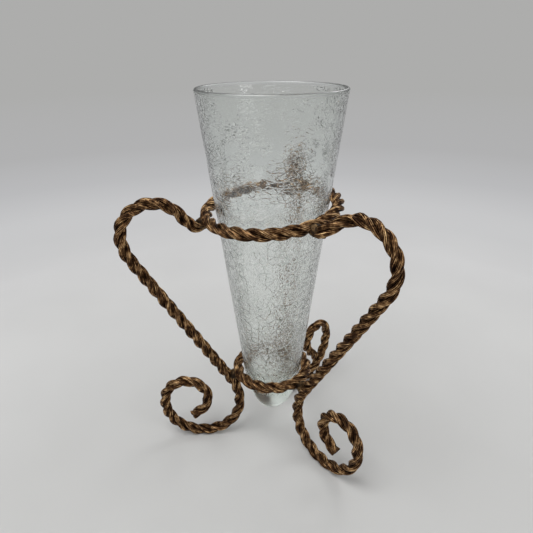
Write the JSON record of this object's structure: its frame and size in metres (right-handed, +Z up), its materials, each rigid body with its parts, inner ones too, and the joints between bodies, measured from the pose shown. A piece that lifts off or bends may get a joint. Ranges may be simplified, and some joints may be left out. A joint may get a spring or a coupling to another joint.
{
  "type": "footed flower vase",
  "caption": "Tall cone vase of clear crackle glass with a round tip, resting in rings of twisted wire rope on arched rope legs with scroll feet.",
  "frame": {"origin": "on the glass's axis, on the surface that the feet stand on", "axes": "+Z up along the glass's axis, +Y toward the back leg, with the left leg at 210 and the right leg at 330 degrees from +X"},
  "size_m": [0.1693, 0.1533, 0.254],
  "materials": {
    "glass": "clear with a crackle inside, smooth at the rim and tip",
    "rope": "antique gold, bright on the ridges and near black in the grooves",
    "braze": "satin, as left by the torch"
  },
  "bodies": {
    "stand": {"upper_ring_strand_1": "rope", "upper_ring_strand_2": "rope", "upper_ring_strand_3": "rope", "lower_ring_strand_1": "rope", "lower_ring_strand_2": "rope", "lower_ring_strand_3": "rope", "back_leg_strand_1": "rope", "back_leg_strand_2": "rope", "back_leg_strand_3": "rope", "left_leg_strand_1": "rope", "left_leg_strand_2": "rope", "left_leg_strand_3": "rope", "right_leg_strand_1": "rope", "right_leg_strand_2": "rope", "right_leg_strand_3": "rope", "back_upper_braze": "braze", "left_upper_braze": "braze", "right_upper_braze": "braze", "back_lower_braze": "braze", "left_lower_braze": "braze", "right_lower_braze": "braze"},
    "vase": {"glass_vase": "glass"}
  },
  "joints": [
    {"name": "vase_lift", "type": "slide", "parent": "stand", "child": "vase", "axis": [0, 0, 1], "range_m": [0, 0.19]}
  ]
}
